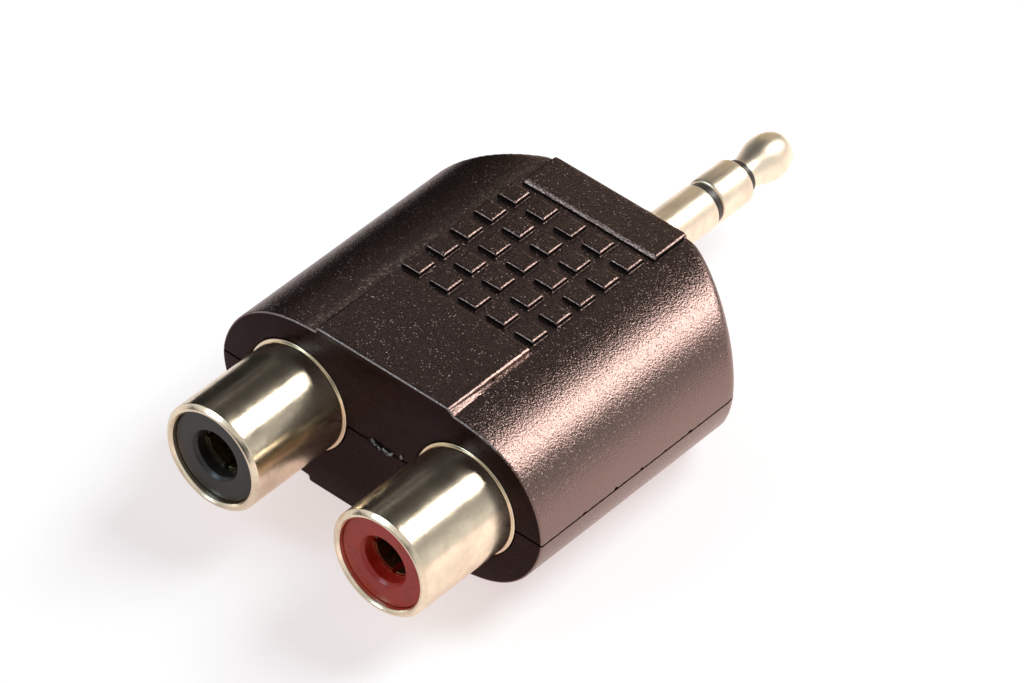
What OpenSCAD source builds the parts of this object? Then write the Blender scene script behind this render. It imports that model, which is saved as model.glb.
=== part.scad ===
// Stereo adapter: two phono sockets on one face, one 3.5 mm three-pole plug on the nose.
// X runs across the sockets, +Y points along the plug, +Z is up.
// The origin is on the underside, below the middle of the housing.

/* [Housing] */
// Width across both sockets
housing_w = 28.4; // [27.8:0.1:34]
// Length from the socket face to the nose face
housing_l = 24.6; // [24:0.1:32]
// Height, pads included
housing_h = 14; // [13:0.1:18]
// Width of the flat middle of the top before the shoulder curve starts
crown_w = 2.5; // [1:0.1:6]
// Squareness of the shoulder curve
shoulder_power = 4.3; // [3:0.1:6]
// Fullness of the side curve
side_power = 1.7; // [1.4:0.05:2.4]
// Wall of both half shells
wall = 1.5; // [1.2:0.1:1.8]
// Thickness of the wall behind the socket face
face_wall = 2; // [1.6:0.1:2.6]
// Thickness of the wall behind the nose face
nose_wall = 2.2; // [1.6:0.1:2.8]
// Radius of the turned nose at its front face
nose_r = 9.3; // [9:0.1:10.5]
// Length over which the nose tapers
nose_taper_l = 4.8; // [3:0.1:6]
// Roundness of the nose taper, 1 is a straight cone
nose_power = 1.1; // [1.05:0.05:1.6]

/* [Pads and grip] */
// Width of the raised pads on the top and the underside
pad_w = 11.5; // [10:0.1:13]
// Height of the pads and of the grip squares
pad_rise = 0.35; // [0.2:0.05:0.5]
// Run of the sloping edge of a pad
pad_slope = 0.25; // [0.1:0.05:0.5]
// Length of the pad at the socket face
rear_pad_l = 8.3; // [6:0.1:9]
// Length of the pad at the nose
nose_pad_l = 3.3; // [2:0.1:4]
// Squares along each side of the grip pattern
grip_count = 5; // [3:1:5]
// Distance from one grip square to the next
grip_pitch = 2.5; // [2:0.1:2.5]
// Width of the top of a grip square
grip_square = 1.4; // [1:0.1:1.7]
// Draft run on each side of a grip square
grip_draft = 0.12; // [0.05:0.01:0.2]

/* [Shell joint] */
// Diameter of the locating pins
pin_d = 1.8; // [1.4:0.1:2.2]
// Height of the locating pins above the parting plane
pin_rise = 1.5; // [1:0.1:2.5]
// Wall round a pin or a pin socket
pin_boss_wall = 0.9; // [0.7:0.1:1.2]
// Distance of the side pins from the middle plane
side_pin_x = 10.2; // [9:0.1:10.5]
// Distance of the side pins behind the nose face
side_pin_back = 9; // [8.5:0.1:10]
// Thickness of the saddle ribs that hold the metal parts
rib_t = 1.2; // [0.8:0.1:1.6]

/* [Sockets] */
// Distance between the two socket axes
jack_pitch = 14.9; // [14:0.1:16]
// Outer diameter of the socket barrel
barrel_d = 8.3; // [8:0.05:8.5]
// Length of the barrel in front of the housing
barrel_l = 8.8; // [8:0.1:10]
// Diameter of the barrel's body inside the housing
barrel_body_d = 8.7; // [8.6:0.1:9]
// Wall of the barrel
barrel_wall = 0.6; // [0.5:0.05:0.8]
// Bevel on the front rim of the barrel
barrel_bevel = 0.3; // [0.1:0.05:0.4]
// Diameter of the flange that locks the barrel behind the face wall
jack_flange_d = 9.9; // [9.4:0.1:10]
// Thickness of that flange
jack_flange_t = 1.2; // [0.8:0.1:1.6]
// Length of the barrel behind its flange
barrel_tail_l = 2.6; // [2:0.1:3.2]
// Length of the thinner neck that carries the ground tag
barrel_neck_l = 0.9; // [0.7:0.1:1.2]
// Depth of that neck below the barrel's body
barrel_neck_cut = 0.25; // [0.15:0.05:0.3]
// Distance from the barrel's rim back to the insulator's front
insulator_recess = 0.5; // [0.2:0.1:1.5]
// Diameter of the hole in the insulator's front
pin_hole_d = 3.6; // [3.4:0.1:3.8]
// Thickness of the insulator in front of the contact
insulator_front_t = 1.2; // [0.8:0.1:2]
// Length of the insulator's collar behind the barrel
insulator_collar_l = 0.8; // [0.5:0.1:1.2]

/* [Socket contacts] */
// Bore of the spring contact, for a pin of 3.18 mm
contact_bore_d = 3.25; // [3.2:0.01:3.4]
// Outer diameter of the spring contact
contact_d = 4.2; // [4:0.1:4.6]
// Depth of the contact's bore
contact_bore_l = 13.6; // [13:0.1:14.5]
// Thickness of the contact's closed end
contact_end_t = 0.8; // [0.5:0.1:1.2]
// Length of the spring slots
slot_l = 7; // [4:0.1:9]
// Width of the spring slots
slot_w = 0.4; // [0.3:0.05:0.6]
// Outer diameter of the solder cup
cup_d = 2.2; // [1.8:0.1:2.6]
// Length of the solder cup
cup_l = 2.6; // [2:0.1:3]
// Wall of the solder cup
cup_wall = 0.4; // [0.3:0.05:0.5]
// Width of a ground tag's ring beyond the barrel's neck
tag_ring_w = 0.9; // [0.6:0.1:0.9]
// Thickness of a ground tag
tag_t = 0.5; // [0.3:0.05:0.6]
// Width of a ground tag's tongue
tag_tongue_w = 1.8; // [1.2:0.1:2.4]
// Reach of a ground tag's tongue beyond its ring
tag_tongue_l = 1.4; // [1:0.1:1.5]

/* [Plug] */
// Diameter of the plug
plug_d = 3.5; // [3.45:0.01:3.5]
// Diameter of the collar at the nose
collar_d = 5.8; // [5:0.1:6.4]
// Length of the collar in front of the nose
collar_l = 4; // [3:0.1:5]
// Length of the sleeve in front of the collar
sleeve_l = 5.3; // [5:0.1:7]
// Length of each insulating ring that shows
band_l = 0.6; // [0.4:0.05:0.8]
// Step of the insulating rings below the plug's surface
band_cut = 0.17; // [0.05:0.01:0.2]
// Length of the ring contact
ring_l = 3.3; // [2.2:0.1:3.5]
// Length of the tip contact
tip_l = 4.5; // [4:0.1:5]
// Radius of the tip's neck
tip_neck_r = 1.15; // [1.1:0.05:1.4]
// Radius of the tip's bulge
tip_bulge_r = 1.7; // [1.6:0.01:1.74]
// Distance from the tip's neck to its widest point
tip_bulge_at = 2.7; // [2:0.1:3]
// Radius of the tip's end face
tip_end_r = 0.75; // [0.4:0.05:1]
// Diameter of the flange that locks the plug behind the nose wall
plug_flange_d = 8.2; // [7:0.1:8.6]
// Thickness of that flange
plug_flange_t = 1.2; // [0.8:0.1:1.6]
// Length of the plug's body behind its flange
plug_tail_l = 1.6; // [1.4:0.1:2.4]

/* [Plug core and lugs] */
// Radius of the rod that carries the tip
rod_r = 0.55; // [0.5:0.01:0.6]
// Outer radius of the tip's insulating tube
tip_tube_r = 0.85; // [0.8:0.01:0.9]
// Outer radius of the ring's metal tube
ring_tube_r = 1.12; // [1.1:0.01:1.16]
// Outer radius of the ring's insulating tube
sleeve_tube_r = 1.42; // [1.38:0.01:1.46]
// Thickness of a solder lug
lug_t = 0.4; // [0.3:0.05:0.5]
// Outer radius of a lug's washer
lug_r = 2.6; // [2.3:0.1:2.8]
// Thickness of an insulating washer
washer_t = 0.7; // [0.5:0.1:1]
// Outer radius of an insulating washer
washer_r = 2.8; // [2.4:0.1:3]
// Width of a lug's tongue
tongue_w = 2; // [1.4:0.1:2.4]
// Length of a lug's tongue
tongue_l = 3.6; // [3:0.1:4]
// Distance from the plug's axis to a signal lug's tongue
signal_arm = 3.3; // [3.1:0.1:3.8]
// Distance from the plug's axis to the ground lug's tongue
ground_arm = 4; // [3.6:0.1:4.2]
// Radius of the rivet head on the end of the rod
rivet_r = 1; // [0.8:0.1:1.4]
// Thickness of the rivet head
rivet_t = 0.4; // [0.3:0.1:0.6]

/* [Wires] */
// Diameter of the copper core
core_d = 0.6; // [0.4:0.05:0.7]
// Diameter of the insulation
wire_d = 1.2; // [1:0.05:1.3]
// Radius of a solder joint
solder_r = 0.75; // [0.65:0.05:0.9]

/* [Hidden] */

// Clearance between metal parts and what they are pressed into
snug = 0.02;
// Clearance of the parts that the shells close on
seat_gap = 0.05;
// Extra length of a cutting tool past the face that it cuts
over = 1;
// Facets of a full circle
round_fn = 64;
// Points along a quarter of the section curve and along the nose curve
section_steps = 20;
nose_steps = 8;
// How far outside the side the nose curve starts, so that it meets the side at an angle
nose_run_out = 0.3;

mid_z = housing_h / 2;
face_y = -housing_l / 2;
nose_y = housing_l / 2;
shell_half_w = housing_w / 2;
shell_half_h = mid_z - pad_rise;
jack_x = jack_pitch / 2;
grip_mid_y = face_y + (rear_pad_l + housing_l - nose_pad_l) / 2;
front_pin_y = face_y + face_wall + jack_flange_t / 2;
side_pin_y = nose_y - side_pin_back;
boss_r = pin_d / 2 + pin_boss_wall;

// Socket: local Z starts at the socket face and points into the housing
flange_end = face_wall + jack_flange_t;
barrel_end = flange_end + barrel_tail_l + barrel_neck_l;
barrel_r = barrel_d / 2;
bore_r = barrel_r - barrel_wall;
body_r = barrel_body_d / 2;
neck_r = body_r - barrel_neck_cut;
tag_z = barrel_end - barrel_neck_l;
insulator_start = insulator_recess - barrel_l;
insulator_end = barrel_end + insulator_collar_l;
contact_start = insulator_start + insulator_front_t + seat_gap;
contact_r = contact_d / 2;
contact_end = contact_start + contact_bore_l + contact_end_t;
cup_end = contact_end + cup_l;
tag_ring_r = neck_r + tag_ring_w;
tag_tongue_reach = tag_ring_r + tag_tongue_l;

// Plug: local Z starts at the nose face and points out along the plug
plug_r = plug_d / 2;
collar_r = collar_d / 2;
sleeve_end = collar_l + sleeve_l;
ring_start = sleeve_end + band_l;
ring_end = ring_start + ring_l;
tip_start = ring_end + band_l;
tip_end = tip_start + tip_l;
body_end = -(nose_wall + plug_flange_t + plug_tail_l);
sleeve_lug_end = body_end - lug_t;
ring_washer_end = sleeve_lug_end - washer_t;
ring_lug_end = ring_washer_end - lug_t;
tip_washer_end = ring_lug_end - washer_t;
tip_lug_end = tip_washer_end - lug_t;

// Wires: from each solder cup or ground tag to the tongue of a lug
core_r = core_d / 2;
wire_r = wire_d / 2;
wire_steps = 12;
wire_sides = 10;
strip_steps = 2;
cup_bottom_gap = 0.3;
pull = 2.2;
tip_tongue_y = nose_y + tip_lug_end + lug_t - tongue_l;
ring_tongue_y = nose_y + ring_lug_end + lug_t - tongue_l;
ground_tongue_y = nose_y + sleeve_lug_end + lug_t - tongue_l;
lap_l = 1.8;
ground_split = 0.6;
tag_solder_x = jack_x - tag_tongue_reach + solder_r;

function unit(v) = v / norm(v);
function quarter(half_w, half_h) = [
  for (i = [0:section_steps])
    let (a = 90 * i / section_steps)
    [crown_w / 2 + (half_w - crown_w / 2) * pow(cos(a), 2 / shoulder_power),
     half_h * pow(sin(a), 2 / side_power)]
];
function half_outline(inset) =
  let (q = quarter(shell_half_w - inset, shell_half_h - inset))
  concat(q, [for (i = [section_steps:-1:0]) [-q[i][0], q[i][1]]]);
function nose_curve(inset) = [
  for (i = [0:nose_steps])
    let (u = i / nose_steps,
         wide = shell_half_w + nose_run_out - nose_r,
         fall = pow(1 - pow(u, nose_power), 1 / nose_power))
    [nose_r + wide * fall - inset, nose_y - nose_taper_l * (1 - u)]
];
function bezier(p, t) = pow(1 - t, 3) * p[0] + 3 * t * pow(1 - t, 2) * p[1]
  + 3 * t * t * (1 - t) * p[2] + pow(t, 3) * p[3];
// A wire leaves its start along +Y, curves over and lies along a tongue, again along +Y
function wire_route(start, finish) = concat(
  [for (i = [0:wire_steps])
    bezier([start, start + [0, pull, 0], finish - [0, pull, 0], finish], i / wire_steps)],
  [finish + [0, lap_l, 0]]
);
function route_tangent(p, i) = unit(p[min(i + 1, len(p) - 1)] - p[max(i - 1, 0)]);
function inner_stretch(p) = [for (i = [strip_steps:len(p) - 2 - strip_steps]) p[i]];

function signal_route(side) = wire_route(
  [side * jack_x, face_y + contact_end + cup_bottom_gap, 0],
  side < 0
    ? [-(signal_arm + lug_t + core_r), tip_tongue_y, 0]
    : [signal_arm + lug_t + core_r, ring_tongue_y, 0]
);
function ground_route(side) = wire_route(
  [side * tag_solder_x, face_y + tag_z + tag_t, 0],
  [side * ground_split, ground_tongue_y, -ground_arm + core_r]
);

module at_mid() {
  translate([0, 0, mid_z]) children();
}

module along_y(x, y) {
  translate([x, y, 0]) rotate([-90, 0, 0]) children();
}

// A tube from z1 to z2 between two radii
module tube(inner, outer, z1, z2) {
  difference() {
    rod(outer, z1, z2);
    rod(inner, z1 - over, z2 + over);
  }
}

module rod(r, z1, z2) {
  translate([0, 0, z1]) cylinder(h = z2 - z1, r = r, $fn = round_fn);
}

module prism_y(y1, y2) {
  translate([0, y2, 0]) rotate([90, 0, 0]) linear_extrude(y2 - y1) children();
}

// Turned form about the plug's axis that rounds the corners beside the nose
module nose_form(inset) {
  rotate([-90, 0, 0]) rotate_extrude($fn = round_fn)
    polygon(concat(
      [[0, -housing_l], [shell_half_w + nose_run_out - inset, -housing_l]],
      nose_curve(inset),
      [[nose_r - inset, nose_y + over], [0, nose_y + over]]
    ));
}

// The section of one half, run along Y
module half_prism(inset, y1, y2) {
  prism_y(y1, y2) polygon(half_outline(inset));
}

// A raised pad with sloping long edges, reaching down into the shell
module pad(y1, y2) {
  top = mid_z;
  foot = shell_half_h - wall / 2;
  flare = pad_slope * (top - foot) / pad_rise;
  prism_y(y1, y2) polygon([
    [-pad_w / 2 - flare, foot], [pad_w / 2 + flare, foot], [pad_w / 2, top], [-pad_w / 2, top]
  ]);
}

// Parallel ridges along Y; two crossed sets leave the grip squares
module grip_ridges() {
  top = mid_z;
  foot = shell_half_h - wall / 2;
  flare = grip_draft * (top - foot) / pad_rise;
  span = grip_count * grip_pitch;
  for (i = [0:grip_count - 1])
    translate([(i - (grip_count - 1) / 2) * grip_pitch, 0, 0])
      prism_y(-span / 2, span / 2) polygon([
        [-grip_square / 2 - flare, foot], [grip_square / 2 + flare, foot],
        [grip_square / 2, top], [-grip_square / 2, top]
      ]);
}

module grip() {
  translate([0, grip_mid_y, 0]) intersection() {
    grip_ridges();
    rotate([0, 0, 90]) grip_ridges();
  }
}

module rib(y1, y2) {
  translate([-shell_half_w, y1, 0]) cube([housing_w, y2 - y1, mid_z]);
}

// Places for the locating pins, as [x, y]
pin_places = [[0, front_pin_y], [side_pin_x, side_pin_y], [-side_pin_x, side_pin_y]];

// What stands inside a half shell: saddle ribs, the web between the sockets and the pin bosses
module inner_works() {
  rib(face_y + flange_end + seat_gap, face_y + flange_end + seat_gap + rib_t);
  rib(nose_y - nose_wall - plug_flange_t - seat_gap - rib_t, nose_y - nose_wall - plug_flange_t - seat_gap);
  translate([-boss_r, face_y, 0]) cube([2 * boss_r, flange_end + rib_t, mid_z]);
  for (p = pin_places)
    translate([p[0], p[1], 0]) cylinder(h = mid_z, r = boss_r, $fn = round_fn);
}

// Everything cut for the sockets and the plug, the same in both halves
module seats() {
  for (side = [-1, 1])
    along_y(side * jack_x, face_y) {
      rod(body_r + seat_gap, -over, flange_end + rib_t + 2 * seat_gap);
      rod(jack_flange_d / 2 + seat_gap, face_wall - seat_gap, flange_end + seat_gap);
      rod(tag_ring_r + seat_gap, tag_z - seat_gap, tag_z + tag_t + seat_gap);
    }
  along_y(0, nose_y) {
    rod(collar_r + seat_gap, body_end, over);
    rod(plug_flange_d / 2 + seat_gap, -(nose_wall + plug_flange_t + seat_gap), -nose_wall + seat_gap);
  }
}

module half_shell() {
  difference() {
    intersection() {
      union() {
        half_prism(0, face_y, nose_y);
        pad(face_y, face_y + rear_pad_l);
        pad(nose_y - nose_pad_l, nose_y);
        grip();
      }
      nose_form(0);
    }
    difference() {
      intersection() {
        half_prism(wall, face_y + face_wall, nose_y - nose_wall);
        nose_form(wall);
      }
      inner_works();
    }
    seats();
  }
}

module housing_top() {
  color("#1c1a1a") at_mid() difference() {
    half_shell();
    for (p = pin_places)
      translate([p[0], p[1], -over])
        cylinder(h = over + pin_rise + 2 * seat_gap, r = pin_d / 2 + seat_gap, $fn = round_fn);
  }
}

module housing_bottom() {
  color("#1c1a1a") at_mid() union() {
    mirror([0, 0, 1]) half_shell();
    for (p = pin_places)
      translate([p[0], p[1], -mid_z / 2]) cylinder(h = mid_z / 2 + pin_rise, r = pin_d / 2, $fn = round_fn);
  }
}

module jack_barrel(side) {
  color("#c9c2b4") at_mid() along_y(side * jack_x, face_y) rotate_extrude($fn = round_fn) polygon([
    [bore_r, -barrel_l],
    [barrel_r - barrel_bevel, -barrel_l],
    [barrel_r, barrel_bevel - barrel_l],
    [barrel_r, 0],
    [body_r, 0],
    [body_r, face_wall],
    [jack_flange_d / 2, face_wall],
    [jack_flange_d / 2, flange_end],
    [body_r, flange_end],
    [body_r, tag_z],
    [neck_r, tag_z],
    [neck_r, barrel_end],
    [bore_r, barrel_end]
  ]);
}

module jack_insulator(side, shade) {
  color(shade) at_mid() along_y(side * jack_x, face_y) difference() {
    union() {
      rod(bore_r - snug, insulator_start, insulator_end);
      rod(neck_r, barrel_end, insulator_end);
    }
    rod(pin_hole_d / 2, insulator_start - over, contact_start);
    rod(contact_r + snug, contact_start - seat_gap, insulator_end + over);
  }
}

module jack_contact(side) {
  color("#c9a24a") at_mid() along_y(side * jack_x, face_y) difference() {
    union() {
      rod(contact_r, contact_start, contact_end);
      rod(cup_d / 2, contact_end - contact_end_t, cup_end);
    }
    rod(contact_bore_d / 2, contact_start - over, contact_end - contact_end_t);
    rod(cup_d / 2 - cup_wall, contact_end, cup_end + over);
    for (turn = [0, 90])
      rotate([0, 0, turn]) translate([-contact_d, -slot_w / 2, contact_start - over])
        cube([2 * contact_d, slot_w, slot_l + over]);
  }
}

module jack_ground_tag(side) {
  color("#b9b39c") at_mid() along_y(side * jack_x, face_y) difference() {
    union() {
      rod(tag_ring_r, tag_z, tag_z + tag_t);
      scale([-side, 1, 1]) translate([0, -tag_tongue_w / 2, tag_z])
        cube([tag_tongue_reach, tag_tongue_w, tag_t]);
    }
    rod(neck_r + snug, tag_z - over, tag_z + tag_t + over);
  }
}

module plug_tip() {
  color("#cfc6b2") at_mid() along_y(0, nose_y) union() {
    rod(rod_r, tip_lug_end, tip_start);
    rod(rivet_r, tip_lug_end - rivet_t, tip_lug_end);
    rotate_extrude($fn = round_fn) polygon(concat(
      [[0, tip_start], [tip_neck_r, tip_start]],
      [for (i = [1:nose_steps])
        let (u = i / nose_steps, swell = (1 - cos(180 * u)) / 2)
        [tip_neck_r + (tip_bulge_r - tip_neck_r) * swell, tip_start + tip_bulge_at * u]],
      [for (i = [1:nose_steps])
        let (a = 90 * i / nose_steps, fall = tip_l - tip_bulge_at)
        [tip_end_r + (tip_bulge_r - tip_end_r) * cos(a), tip_start + tip_bulge_at + fall * sin(a)]],
      [[0, tip_end]]
    ));
  }
}

module plug_tip_insulator() {
  color("#2b2725") at_mid() along_y(0, nose_y) union() {
    tube(rod_r + snug, tip_tube_r, tip_washer_end, tip_start);
    tube(rod_r + snug, tip_neck_r + band_cut, ring_end, tip_start);
  }
}

module plug_ring() {
  color("#cfc6b2") at_mid() along_y(0, nose_y) union() {
    tube(tip_tube_r + snug, ring_tube_r, ring_lug_end, ring_end);
    tube(tip_tube_r + snug, plug_r, ring_start, ring_end);
  }
}

module plug_ring_insulator() {
  color("#2b2725") at_mid() along_y(0, nose_y) union() {
    tube(ring_tube_r + snug, sleeve_tube_r, sleeve_lug_end, ring_start);
    tube(ring_tube_r + snug, plug_r - band_cut, sleeve_end, ring_start);
  }
}

module plug_sleeve() {
  color("#cfc6b2") at_mid() along_y(0, nose_y) difference() {
    union() {
      rod(plug_r, 0, sleeve_end);
      rod(collar_r, body_end, collar_l);
      rod(plug_flange_d / 2, -(nose_wall + plug_flange_t), -nose_wall);
    }
    rod(sleeve_tube_r + snug, body_end - over, sleeve_end + over);
  }
}

// A washer with a tongue bent back along the plug, at a given turn about the plug's axis
module lug(hole_r, z_end, arm, turn, reach) {
  rotate([0, 0, turn]) difference() {
    union() {
      rod(lug_r, z_end, z_end + lug_t);
      translate([0, -tongue_w / 2, z_end]) cube([arm + lug_t, tongue_w, lug_t]);
      translate([arm, -tongue_w / 2, z_end + lug_t - reach]) cube([lug_t, tongue_w, reach]);
    }
    rod(hole_r + snug, z_end - over, z_end + lug_t + over);
  }
}

module plug_sleeve_lug() {
  color("#b9b39c") at_mid() along_y(0, nose_y) lug(sleeve_tube_r, sleeve_lug_end, ground_arm, 90, tongue_l);
}

module plug_ring_lug() {
  color("#b9b39c") at_mid() along_y(0, nose_y) lug(ring_tube_r, ring_lug_end, signal_arm, 0, tongue_l);
}

module plug_tip_lug() {
  color("#b9b39c") at_mid() along_y(0, nose_y) lug(rod_r, tip_lug_end, signal_arm, 180, tongue_l);
}

module plug_ring_washer() {
  color("#8a3b22") at_mid() along_y(0, nose_y)
    tube(ring_tube_r + snug, washer_r, ring_washer_end, sleeve_lug_end);
}

module plug_tip_washer() {
  color("#8a3b22") at_mid() along_y(0, nose_y)
    tube(tip_tube_r + snug, washer_r, tip_washer_end, ring_lug_end);
}

// A round wire swept along a route
module sweep(route, r) {
  count = len(route);
  rings = [
    for (i = [0:count - 1])
      let (t = route_tangent(route, i), u = unit(cross(t, [0, 0, 1])), v = cross(u, t))
      for (k = [0:wire_sides - 1])
        let (a = 360 * k / wire_sides)
        route[i] + r * (cos(a) * u + sin(a) * v)
  ];
  walls = [
    for (i = [0:count - 2])
      for (k = [0:wire_sides - 1])
        let (a = i * wire_sides + k, b = i * wire_sides + (k + 1) % wire_sides)
        [a, b, b + wire_sides, a + wire_sides]
  ];
  first = [for (k = [wire_sides - 1:-1:0]) k];
  last = [for (k = [0:wire_sides - 1]) (count - 1) * wire_sides + k];
  polyhedron(points = rings, faces = concat([first], walls, [last]), convexity = 4);
}

module wire_core(route) {
  color("#b8733a") at_mid() sweep(route, core_r);
}

module wire_insulation(route, shade) {
  color(shade) at_mid() difference() {
    sweep(inner_stretch(route), wire_r);
    sweep(route, core_r + snug);
  }
}

// A dome of solder on a flat face; the dome stands along local +Z
module solder_dome(r) {
  intersection() {
    sphere(r = r, $fn = round_fn);
    rod(r + over, 0, r + over);
  }
}

module solder_joints() {
  color("#a8a8a6") at_mid() difference() {
    union() {
      for (side = [-1, 1]) {
        along_y(side * jack_x, face_y) rod(cup_d / 2 - cup_wall, contact_end, cup_end);
        along_y(side * tag_solder_x, face_y + tag_z + tag_t) solder_dome(solder_r);
      }
      translate([-(signal_arm + lug_t), tip_tongue_y + lap_l / 2, 0]) rotate([0, -90, 0])
        solder_dome(solder_r);
      translate([signal_arm + lug_t, ring_tongue_y + lap_l / 2, 0]) rotate([0, 90, 0])
        solder_dome(solder_r);
      translate([0, ground_tongue_y + lap_l / 2, -ground_arm]) solder_dome(solder_r + ground_split / 2);
    }
    for (side = [-1, 1]) {
      sweep(signal_route(side), core_r);
      sweep(ground_route(side), core_r);
    }
  }
}

housing_top();
housing_bottom();
jack_barrel(-1);  // left_jack_barrel
jack_insulator(-1, "#26221f");  // left_jack_insulator
jack_contact(-1);  // left_jack_contact
jack_ground_tag(-1);  // left_jack_ground_tag
jack_barrel(1);  // right_jack_barrel
jack_insulator(1, "#c22a1c");  // right_jack_insulator
jack_contact(1);  // right_jack_contact
jack_ground_tag(1);  // right_jack_ground_tag
plug_tip();
plug_tip_insulator();
plug_ring();
plug_ring_insulator();
plug_sleeve();
plug_sleeve_lug();
plug_ring_washer();
plug_ring_lug();
plug_tip_washer();
plug_tip_lug();
wire_core(signal_route(-1));  // left_signal_core
wire_insulation(signal_route(-1), "#e8e4da");  // left_signal_insulation
wire_core(signal_route(1));  // right_signal_core
wire_insulation(signal_route(1), "#b3261a");  // right_signal_insulation
wire_core(ground_route(-1));  // left_ground_core
wire_insulation(ground_route(-1), "#1f1f1f");  // left_ground_insulation
wire_core(ground_route(1));  // right_ground_core
wire_insulation(ground_route(1), "#1f1f1f");  // right_ground_insulation
solder_joints();
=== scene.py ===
import math

import bmesh
import bpy
import numpy as np
from mathutils import Matrix, Vector, noise


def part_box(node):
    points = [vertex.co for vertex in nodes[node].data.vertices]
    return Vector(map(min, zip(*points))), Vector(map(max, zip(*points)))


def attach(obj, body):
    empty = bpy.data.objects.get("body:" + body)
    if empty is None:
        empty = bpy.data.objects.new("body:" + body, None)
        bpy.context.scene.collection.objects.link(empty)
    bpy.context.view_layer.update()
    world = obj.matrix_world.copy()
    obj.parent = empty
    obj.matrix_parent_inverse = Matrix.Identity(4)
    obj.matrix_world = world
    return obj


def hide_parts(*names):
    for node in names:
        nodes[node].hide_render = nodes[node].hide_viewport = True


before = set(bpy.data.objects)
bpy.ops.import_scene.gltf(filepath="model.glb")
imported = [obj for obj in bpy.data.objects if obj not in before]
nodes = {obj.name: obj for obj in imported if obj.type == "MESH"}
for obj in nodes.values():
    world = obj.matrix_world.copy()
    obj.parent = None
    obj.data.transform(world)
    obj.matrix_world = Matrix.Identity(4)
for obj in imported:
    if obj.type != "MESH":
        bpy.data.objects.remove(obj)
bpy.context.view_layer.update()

MM = 0.001


def box_mm(node):
    """Lowest and highest corner of a CAD node in millimetres."""
    low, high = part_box(node)
    return np.array(low) / MM, np.array(high) / MM


# Housing sizes, the same as the solids
SHELL_LOW, SHELL_HIGH = box_mm("housing_top")
HALF_W = SHELL_HIGH[0]
FACE_Y = SHELL_LOW[1]
NOSE_Y = SHELL_HIGH[1]
MID_Z = SHELL_LOW[2]
TOP_RISE = SHELL_HIGH[2] - MID_Z
PAD_RISE = 0.35
SHELL_RISE = TOP_RISE - PAD_RISE
CROWN = 1.25
SHOULDER_POWER = 4.3
SIDE_POWER = 1.7
NOSE_R = 9.3
NOSE_TAPER = 4.8
NOSE_POWER = 1.1
NOSE_RUN_OUT = 0.3
WALL = 1.5
FACE_WALL = 2.0
NOSE_WALL = 2.2

# Pads and grip squares; the mould inserts that form them sit a little off the middle
PAD_HALF = 5.75
REAR_PAD_L = 8.3
NOSE_PAD_L = 3.3
REAR_PAD_X = -0.24
REAR_PAD_END = FACE_Y + REAR_PAD_L
NOSE_PAD_START = NOSE_Y - NOSE_PAD_L
GRIP_COUNT = 5
GRIP_PITCH = 2.5
GRIP_HALF = 0.7
GRIP_X = -0.44
GRIP_Y = (REAR_PAD_END + NOSE_PAD_START) / 2 - 0.06
GRIP_STEPS = [(i - (GRIP_COUNT - 1) / 2) * GRIP_PITCH for i in range(GRIP_COUNT)]
# The powdery streak beside the rear pad runs along here
POWDER_X = -6.75

# Small edge forms
EDGE_R = 0.11
NOSE_EDGE_R = 0.1
FILLET_STEPS = 4
GROOVE_HALF = 0.08
GROOVE_DEPTH = 0.25
# Nicks in the lip of the parting gap: side, y, half length, height
NICKS = (
    (1, -7.9, 0.2, 0.09),
    (1, -4.6, 0.16, 0.15),
    (1, -1.9, 0.14, 0.11),
    (1, 0.6, 0.1, 0.07),
    (1, 3.2, 0.2, 0.09),
    (-1, 4.1, 0.2, 0.08),
)
# Scratches along the scraped slope: distance outside the edge, depth as a share of the rise, half width
SCRATCHES = ((0.165, 0.06, 0.025), (0.3, 0.018, 0.03), (0.41, 0.022, 0.03))
# Torn lumps on it: distance outside the edge, share of the pad's length, share of the rise, size
LUMPS = ((0.28, 0.56, 0.75, 0.08), (0.4, 0.38, 0.3, 0.05), (0.33, 0.66, 0.3, 0.04))
# How much longer than wide a lump is
LUMP_STRETCH = 1.4

# Half width of the strip of the housing's mesh that carries the pads and the grip
STRIP_HALF = 6.45
# How far in along X the side's points go, and their spacing
SIDE_TO, SIDE_STEP = 6.5, 0.36
CAVITY_SIDE_TO, CAVITY_SIDE_STEP = 6.35, 1.1
# Grid lines are at least this far apart
LEAST_STEP = 0.012
# Their spacing across the crown and the scraped slope, then along both pads and between them
CROWN_STEP, SCRAPED_STEP = 0.4, 0.03
REAR_STEP, NOSE_STEP, MIDDLE_STEP = 0.07, 0.3, 0.45
# The scraped slope is worked out right of this place
SLOPE_FROM = 4.5
# How far the turned nose blends into the section, and its radius where there is none
NOSE_BLEND, CAVITY_BLEND = 0.5, 0.05
NO_LIMIT = 99.0
# Where the front fillet is worn and shiny: along X, and from this far off the parting plane
WORN_FROM, WORN_TO, WORN_ABOVE = -12, 9.8, 3
# Where walls under raised edges get painted shade: how steep they are, how far out they lie, how far off
# the parting plane, and where the scraped slope starts, which gets none
STEEP, PAINTED_SHADE_HALF, PAINTED_SHADE_ABOVE, SCRAPED_FROM = 0.42, 6.3, 5.2, 5.3
# How far cutting tools reach past the faces they cut, and seats past their wall
CUT_PAST = 1.0
SEAT_PAST = 0.6

# Sockets; places along Y run from the socket face inwards
FIT_GAP = 0.05
JACK_X = 7.45
BARREL_R = 4.15
BARREL_BODY_R = 4.35
BARREL_BORE_R = 3.55
BARREL_L = 8.8
BARREL_BEVEL = 0.3
MOUTH_R, MOUTH_L = 0.14, 0.2
JACK_FLANGE_R = 4.95
JACK_FLANGE_END = 3.2
BARREL_NECK_R = 4.1
BARREL_NECK_START = 5.8
BARREL_END = 6.7
INSULATOR_R = 3.53
INSULATOR_END = 7.5
PIN_HOLE_R = 1.8
LEAD_IN_R, LEAD_IN_L = 0.22, 0.28
CONTACT_HOLE_R = 2.12
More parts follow.
